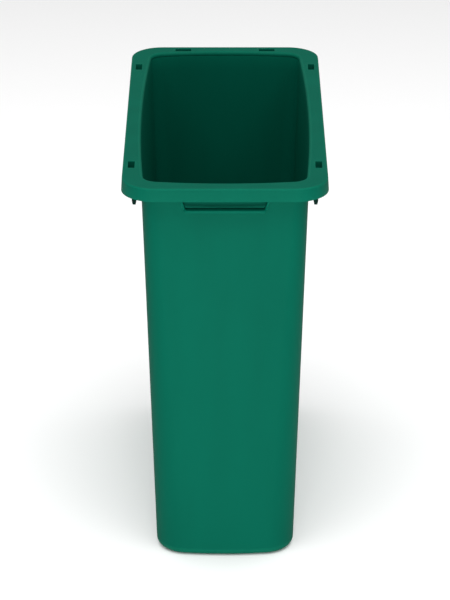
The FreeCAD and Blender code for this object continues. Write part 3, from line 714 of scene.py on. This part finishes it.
collar_rows = arc_rows(-SOFT_EDGE, skirt_edge + SOFT_EDGE, SOFT_EDGE, 270, 360, 3, blend=1.0, rub=0.3)
collar_rows += [row(top - RIM_ROUND - FLAT, -FLARE, 1.0)]
collar_rows += arc_rows(-FLARE - RIM_ROUND, top - RIM_ROUND, RIM_ROUND, 0, 90, 6, blend=1.0, rub=0.45)
collar_rows += [row(top, -FLARE - RIM_ROUND - FLAT, 1.0), row(top, MOUTH_ROUND + FLAT, 0.0)]
collar_rows += arc_rows(MOUTH_ROUND, top - MOUTH_ROUND, MOUTH_ROUND, 90, 180, 8, rub=0.35)
collar_rows += arc_rows(SOFT_EDGE, bead_edge + SOFT_EDGE, SOFT_EDGE, 180, 270, 3)
collar_rows += arc_rows(BEAD_WIDTH - SOFT_EDGE, bead_edge + SOFT_EDGE, SOFT_EDGE, 270, 360, 3)
collar_rows += arc_rows(BEAD_WIDTH + UNDER_FILLET, under_flange - UNDER_FILLET, UNDER_FILLET,
                        180, 90, 3)
collar_rows += arc_rows(-SKIRT - FLARE - UNDER_FILLET, under_flange - UNDER_FILLET, UNDER_FILLET,
                        90, 0, 3, blend=1.0)
collar_rows += arc_rows(SOFT_EDGE - SKIRT, skirt_edge + SOFT_EDGE, SOFT_EDGE, 180, 270, 3, blend=1.0)
collar_rows += collar_rows[:1]
collar = loft("moulded_collar", opening, rim, collar_rows, green)
report(collar)

# %% [markdown]
# Under the flange, out of sight until the collar is lifted, are the boxes of the lid
# sockets, the bosses that hold the pegs, the hinge knuckles, and a row of thin ribs
# along each side that keep the flange flat. The ribs repeat, so a second tree sets
# them out: it copies one gusset along a line on the right, and the whole row turned
# half round for the left.

# %% The row of ribs
RIB, RIB_DROP, RIB_PITCH = 2.0 * MM, 9.0 * MM, 62.0 * MM
SOCKET_HALF_X, SOCKET_HALF_Y, SOCKET_DEPTH = 4.6 * MM, 12.3 * MM, 13.0 * MM
SOCKET_WALL, SOCKET_INSET, SOCKET_FROM_END = 1.6 * MM, 12.9 * MM, 93.0 * MM


def gusset(name, near, far, low, high, material):
    """One rib seen from its end: deep at the skirt, hollowed towards the bead."""
    steps = 8
    shallow = 0.45  # the share of its full depth that the rib keeps at the bead
    hollow = [(near + (far - near) * step / steps,
               high - (high - low) * (shallow + (1 - shallow) * (step / steps) ** 2))
              for step in range(steps + 1)]
    profile = hollow + [(far, high), (near, high)]
    shape = bmesh.new()
    face = shape.faces.new([shape.verts.new((x, -RIB / 2, z)) for x, z in profile])
    push = bmesh.ops.extrude_face_region(shape, geom=[face])["geom"]
    for vertex in (item for item in push if isinstance(item, bmesh.types.BMVert)):
        vertex.co.y += RIB
    bmesh.ops.recalc_face_normals(shape, faces=shape.faces[:])
    mesh = bpy.data.meshes.new(name)
    shape.to_mesh(mesh)
    shape.free()
    mesh.materials.append(material)
    rib = bpy.data.objects.new(name, mesh)
    bpy.context.scene.collection.objects.link(rib)
    return rib


def build_rib_tree():
    tree = bpy.data.node_groups.new("ribs_along_both_sides", "GeometryNodeTree")
    add_input(tree, "Rib", "NodeSocketObject")
    add_input(tree, "Count", "NodeSocketInt")
    add_input(tree, "Pitch", "NodeSocketFloat")
    add_input(tree, "Material", "NodeSocketMaterial")
    tree.interface.new_socket(name="Piece", in_out="OUTPUT", socket_type="NodeSocketGeometry")
    given = add_node(tree, "NodeGroupInput").outputs
    # the line of ribs is centred on the bin: it starts half its length to the front
    gaps = add_node(tree, "ShaderNodeMath", {"operation": "SUBTRACT"},
                    {0: given["Count"], 1: 1.0}).outputs["Value"]
    length = add_node(tree, "ShaderNodeMath", {"operation": "MULTIPLY"},
                      {0: gaps, 1: given["Pitch"]}).outputs["Value"]
    start = add_node(tree, "ShaderNodeMath", {"operation": "MULTIPLY"},
                     {0: length, 1: -0.5}).outputs["Value"]
    first = add_node(tree, "ShaderNodeCombineXYZ", None, {"Y": start}).outputs["Vector"]
    step = add_node(tree, "ShaderNodeCombineXYZ", None, {"Y": given["Pitch"]}).outputs["Vector"]
    line = add_node(tree, "GeometryNodeMeshLine", None, {
        "Count": given["Count"], "Start Location": first, "Offset": step}).outputs["Mesh"]
    rib = add_node(tree, "GeometryNodeObjectInfo", None, {"Object": given["Rib"]})
    right = add_node(tree, "GeometryNodeInstanceOnPoints", None, {
        "Points": line, "Instance": rib.outputs["Geometry"]}).outputs["Instances"]
    left = add_node(tree, "GeometryNodeTransform", None, {
        "Geometry": right, "Rotation": (0.0, 0.0, math.pi)}).outputs["Geometry"]
    both = add_node(tree, "GeometryNodeJoinGeometry").inputs["Geometry"]
    tree.links.new(right, both)
    tree.links.new(left, both)
    real = add_node(tree, "GeometryNodeRealizeInstances", None,
                    {"Geometry": both.node.outputs["Geometry"]})
    painted = add_node(tree, "GeometryNodeSetMaterial", None,
                       {"Geometry": real.outputs["Geometry"], "Material": given["Material"]})
    add_node(tree, "NodeGroupOutput", None, {"Piece": painted.outputs["Geometry"]})
    return tree


rib_near = opening_half_width + BEAD_WIDTH - SINK
rib_far = half_width - SKIRT
one_rib = gusset("rib", rib_near, rib_far, under_flange - RIB_DROP, under_flange + SINK, green)
rib_room = 2 * (half_depth - SOCKET_FROM_END - SOCKET_HALF_Y - SOCKET_WALL)
rib_count = int(rib_room / RIB_PITCH)
ribs = run_tree("ribs", build_rib_tree(), {
    "Rib": one_rib, "Count": rib_count, "Pitch": RIB_PITCH, "Material": green})
drop(one_rib)
print(rib_count, "ribs on each side")

# %% Sockets, bosses and knuckles
BOSS_WALL, BOSS_DEPTH, PEG_FIT = 2.2 * MM, 11.0 * MM, 0.05 * MM
SLOT_HALF_X, SLOT_HALF_Y, SLOT_INSET = 12.0 * MM, 5.0 * MM, 15.0 * MM
WINDOW_CORNER, WINDOW_LEAD, KNUCKLE_LIFT = 0.8 * MM, 0.4 * MM, 0.1 * MM
added, cut = [ribs], []
for sign_x in (-1, 1):
    for sign_y in (-1, 1):
        x = sign_x * (half_width - SOCKET_INSET)
        y = sign_y * (half_depth - SOCKET_FROM_END)
        wall_x, wall_half_y = SOCKET_HALF_X + SOCKET_WALL, SOCKET_HALF_Y + SOCKET_WALL
        floor_z = top - SOCKET_DEPTH
        added.append(rounded_block("socket_box", (x - wall_x, y - wall_half_y, floor_z - SOCKET_WALL),
                                   (x + wall_x, y + wall_half_y, under_flange + SINK), SOFT_EDGE,
                                   green))
        cut.append(window("socket", x, y, SOCKET_HALF_X, SOCKET_HALF_Y, floor_z, top,
                          WINDOW_CORNER, green, WINDOW_LEAD))
boss = peg_half + PEG_FIT + BOSS_WALL
for sign in (-1, 1):
    x = sign * peg_x
    added.append(rounded_block("peg_boss", (x - boss, peg_y - boss, under_flange - BOSS_DEPTH),
                               (x + boss, peg_y + boss, under_flange + SINK), SOFT_EDGE, green))
    cut.append(window("peg_hole", x, peg_y, peg_half + PEG_FIT, peg_half + PEG_FIT,
                      under_flange - BOSS_DEPTH - 2 * SINK, under_flange - SINK, WINDOW_CORNER, green))
for middle in hinge_places:
    added.append(rounded_block(
        "knuckle", (middle - KNUCKLE / 2, hinge_y - EAR_RADIUS, skirt_edge + KNUCKLE_LIFT),
        (middle + KNUCKLE / 2, half_depth - SKIRT + SINK, hinge_z + EAR_RADIUS), KNUCKLE_EDGE, green))
    reach = KNUCKLE / 2 + SINK
    cut.append(lying_round("knuckle_bore", PIN_RADIUS + PIN_GAP, middle - reach, middle + reach,
                           hinge_y, hinge_z, green))
    cut.append(window("slot", middle, half_depth - SLOT_INSET, SLOT_HALF_X, SLOT_HALF_Y,
                      under_flange - SINK, top, WINDOW_CORNER, green, WINDOW_LEAD))
combine(collar, "UNION", added)
combine(collar, "DIFFERENCE", cut)
finish_surface(collar, green)

# %% [markdown]
# ## Front grip
#
# The grip is a strap that hangs under the front skirt: an ear at each end, and
# between them a flat bar that fingers hook behind. The ears start flush with the
# skirt and step back as they go down, and the bar's front corners are rounded, so
# that its edge runs back into the ears. The strap is a row of rings along a path.

# %% The strap
GRIP_HALF_TOP, GRIP_HALF_BOTTOM = 61.5 * MM, 58.5 * MM
GRIP_EAR, GRIP_BAR, GRIP_GAP = 3.4 * MM, 4.0 * MM, 13.0 * MM
GRIP_ROUND, GRIP_EDGE, GRIP_STEP_BACK = 6.0 * MM, 1.2 * MM, 5.0 * MM
grip_low, grip_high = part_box("front_grip")
grip_back = grip_high.y
bar_top = skirt_edge - GRIP_GAP
bar_bottom = bar_top - GRIP_BAR


def strap_stations():
    """Outer and inner points along the right half of the strap, from ear to middle."""
    stations = []
    round_x = GRIP_HALF_BOTTOM - GRIP_ROUND
    outer_z, inner_round = bar_bottom + GRIP_ROUND, GRIP_ROUND - GRIP_EAR
    inner_z = bar_top + inner_round
    ear_steps, round_steps, bar_steps = 10, 10, 26
    for step in range(ear_steps):
        share = step / ear_steps
        x = GRIP_HALF_TOP + (GRIP_HALF_BOTTOM - GRIP_HALF_TOP) * share
        stations.append(((x, skirt_edge + (outer_z - skirt_edge) * share),
                         (x - GRIP_EAR, skirt_edge + (inner_z - skirt_edge) * share)))
    for step in range(round_steps + 1):
        angle = math.pi / 2 * step / round_steps
        across, down = math.cos(angle), math.sin(angle)
        stations.append(((round_x + GRIP_ROUND * across, outer_z - GRIP_ROUND * down),
                         (round_x + inner_round * across, inner_z - inner_round * down)))
    for step in range(1, bar_steps + 1):
        x = round_x * (1 - (step / bar_steps) ** 0.6)
        stations.append(((x, bar_bottom), (x, bar_top)))
    return stations


def make_strap(material):
    right = strap_stations()
    path = right + [((-ox, oz), (-ix, iz)) for (ox, oz), (ix, iz) in reversed(right[:-1])]
    # the path's length from its nearer end decides how far the front edge steps back
    lengths = [0.0]
    for (before, _), (after, _) in zip(path, path[1:]):
        lengths.append(lengths[-1] + math.dist(before, after))
    turn_at, turn_over = 15 * MM, 24 * MM
    shape = bmesh.new()
    rings = []
    for length, ((outer_x, outer_z), (inner_x, inner_z)) in zip(lengths, path):
        near = min(length, lengths[-1] - length)
        if near < turn_at:
            step_back = GRIP_STEP_BACK * (1 - math.cos(math.pi * near / turn_at)) / 2
        else:
            fade = min(1.0, (near - turn_at) / (turn_over - turn_at))
            step_back = GRIP_STEP_BACK * (1 - math.sqrt(1 - (1 - fade) ** 2))
        front = grip_low.y + step_back
        thick = math.dist((outer_x, outer_z), (inner_x, inner_z))
        edge = GRIP_EDGE / thick
        section = [(0.0, grip_back), (1.0, grip_back)]
        for step in range(5):
            angle = math.pi / 2 * step / 4
            section.append((1 - edge + edge * math.cos(angle),
                            front + GRIP_EDGE - GRIP_EDGE * math.sin(angle)))
        for step in range(5):
            angle = math.pi / 2 * step / 4
            section.append((edge - edge * math.sin(angle),
                            front + GRIP_EDGE - GRIP_EDGE * math.cos(angle)))
        rings.append([shape.verts.new((inner_x + (outer_x - inner_x) * share, y,
                                       inner_z + (outer_z - inner_z) * share))
                      for share, y in section])
    for ring, following in zip(rings, rings[1:]):
        for number in range(len(ring)):
            after = (number + 1) % len(ring)
            shape.faces.new((ring[number], ring[after], following[after], following[number]))
    shape.faces.new(rings[0][::-1])
    shape.faces.new(rings[-1])
    bmesh.ops.recalc_face_normals(shape, faces=shape.faces[:])
    mesh = bpy.data.meshes.new("moulded_grip")
    shape.to_mesh(mesh)
    shape.free()
    mesh.materials.append(material)
    strap = bpy.data.objects.new("moulded_grip", mesh)
    bpy.context.scene.collection.objects.link(strap)
    return strap


grip = make_strap(green)
TAB_WIDTH, TAB_HEIGHT, TAB = 14.0 * MM, 13.0 * MM, 2.4 * MM
tabs = []
for sign in (-1, 1):
    back = grip_low.y + SKIRT + FLARE
    for width, low_z in ((GRIP_EAR, skirt_edge - GRIP_EAR), (TAB_WIDTH, skirt_edge)):
        ends = sorted((sign * GRIP_HALF_TOP, sign * (GRIP_HALF_TOP - width)))
        tabs.append(rounded_block("tab", (ends[0], back, low_z),
                                  (ends[1], back + TAB, skirt_edge + TAB_HEIGHT), TAB_EDGE, green))
for tab in tabs:
    combine(grip, "UNION", [tab])
finish_surface(grip, green)

# %% [markdown]
# ## Pegs and pins
#
# Each peg is a square stem with a tapered, softened tip that finds its eye as the
# collar comes down. Its near-black green is partly dark nylon and partly painted
# shade, the shade it sits in under the collar. Each hinge pin is a length of drawn
# steel with its ends chamfered. Both are lofts of the same tree.

# %% Pegs
PEG_TIP_HALF, PEG_TIP_LENGTH, PEG_CORNER, PEG_SOFT = 2.3 * MM, 6.0 * MM, 0.8 * MM, 0.7 * MM


def make_peg(side):
    low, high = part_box(f"locating_peg_{side}")
    steps = (3, 5, 3)
    stem = crowned_outline(peg_half, peg_half, STRAIGHT, STRAIGHT, PEG_CORNER, steps)
    tip = crowned_outline(PEG_TIP_HALF, PEG_TIP_HALF, STRAIGHT, STRAIGHT, PEG_CORNER, steps)
    rows = [row(low.z, -PEG_SOFT, 1.0, shrink=1.0)]
    rows += arc_rows(-PEG_SOFT, low.z + PEG_SOFT, PEG_SOFT, 270, 360, 4, blend=1.0, rub=0.5)
    rows += [row(low.z + PEG_TIP_LENGTH - PEG_SOFT, 0.0, PEG_SOFT / PEG_TIP_LENGTH),
             row(low.z + PEG_TIP_LENGTH), row(low.z + PEG_TIP_LENGTH + PEG_SOFT),
             row(high.z), row(high.z, shrink=1.0)]
    middle = (low + high) / 2
    # the pegs take the near-black green, with the collar's shade painted into it
    return loft(f"moulded_peg_{side}", stem, tip, rows, dark, (middle.x, middle.y))


pegs = {side: make_peg(side) for side in ("left", "right")}
for peg in pegs.values():
    finish_surface(peg, dark)

# %% Pins
PIN_CHAMFER = 0.5 * MM


def make_pin(side):
    low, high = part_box(f"hinge_pin_{side}")
    return lying_round(f"drawn_pin_{side}", PIN_RADIUS, low.x, high.x, hinge_y, hinge_z, steel,
                       PIN_CHAMFER)


pins = {side: make_pin(side) for side in ("left", "right")}
for pin in pins.values():
    finish_surface(pin, steel)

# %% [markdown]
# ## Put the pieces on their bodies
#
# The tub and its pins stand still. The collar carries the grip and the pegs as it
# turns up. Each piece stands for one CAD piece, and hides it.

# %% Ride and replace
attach(tub, "tub")
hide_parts("tub")
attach(collar, "collar")
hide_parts("collar")
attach(grip, "collar")
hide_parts("front_grip")
for side, peg in pegs.items():
    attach(peg, "collar")
    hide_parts(f"locating_peg_{side}")
for side, pin in pins.items():
    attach(pin, "tub")
    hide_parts(f"hinge_pin_{side}")

# %% [markdown]
# ## Studio
#
# A pale floor reaches past every edge of the view. Light comes softly from all
# round. One lamp stands in front, low enough that it lights the bin's face and
# leaves the inside dark, and a large one overhead lights the flange and the floor.

# %% Floor
FLOOR_REACH = 6.0
floor_mesh = bpy.data.meshes.new("floor")
corners = [(x, y, 0.0) for x, y in ((-1, -1), (1, -1), (1, 1), (-1, 1))]
floor_mesh.from_pydata([(FLOOR_REACH * x, FLOOR_REACH * y, z) for x, y, z in corners], [],
                       [(0, 1, 2, 3)])
floor = bpy.data.objects.new("floor", floor_mesh)
bpy.context.scene.collection.objects.link(floor)
paper = bpy.data.materials.new("pale_paper")
paper.use_nodes = True
paper.node_tree.nodes["Principled BSDF"].inputs["Base Color"].default_value = linear("#FAFAFA")
paper.node_tree.nodes["Principled BSDF"].inputs["Roughness"].default_value = 0.9
floor_mesh.materials.append(paper)


# %% Lights
def soft_light(name, place, aim, size, power):
    data = bpy.data.lights.new(name, "AREA")
    data.shape = "RECTANGLE"
    data.size, data.size_y = size
    data.energy = power
    lamp = bpy.data.objects.new(name, data)
    lamp.location = place
    lamp.rotation_euler = (Vector(aim) - Vector(place)).to_track_quat("-Z", "Y").to_euler()
    bpy.context.scene.collection.objects.link(lamp)
    return lamp


soft_light("front_light", (0, -3.2, 0.35), (0, 0, 0.3), (1.3, 0.6), 66)
soft_light("overhead_light", (0, -0.6, 3.0), (0, -0.2, 0.3), (3.6, 3.6), 108)

world = bpy.data.worlds.new("studio")
bpy.context.scene.world = world
world.use_nodes = True
world.node_tree.nodes["Background"].inputs["Color"].default_value = (1, 1, 1, 1)
world.node_tree.nodes["Background"].inputs["Strength"].default_value = 0.55
bpy.context.scene.view_settings.view_transform = "Standard"
